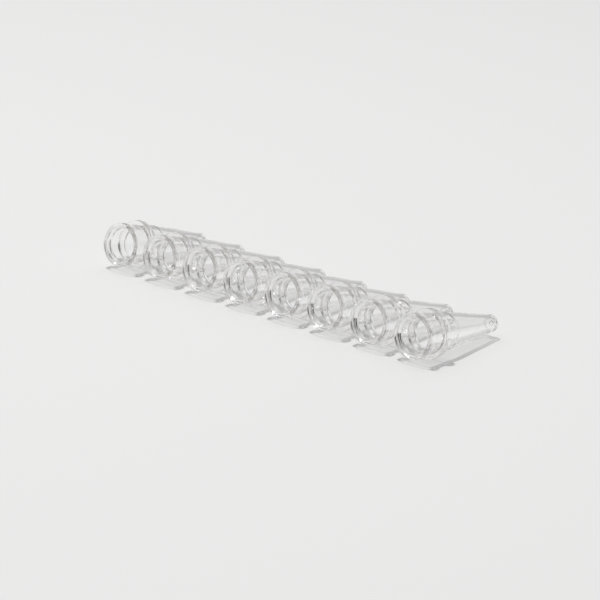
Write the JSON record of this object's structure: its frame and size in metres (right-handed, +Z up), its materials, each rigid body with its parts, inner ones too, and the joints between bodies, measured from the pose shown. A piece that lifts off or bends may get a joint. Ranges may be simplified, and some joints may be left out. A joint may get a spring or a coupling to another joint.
{
  "type": "pcr tube strip",
  "caption": "Strip of clear open PCR tubes joined side by side at their flanges, with flared mouths, tapered bodies and flat tips, lying on its side.",
  "frame": {"origin": "centre of the bounding box's bottom face, on the surface that the strip lies on", "axes": "+X along the strip, +Y level, from the mouths towards the tips, +Z up"},
  "size_m": [0.0712, 0.0214, 0.0084],
  "materials": {
    "clear_plastic": "clear glossy polypropylene, as moulded"
  },
  "bodies": {
    "root": {"tube_strip": "clear_plastic"}
  },
  "joints": []
}
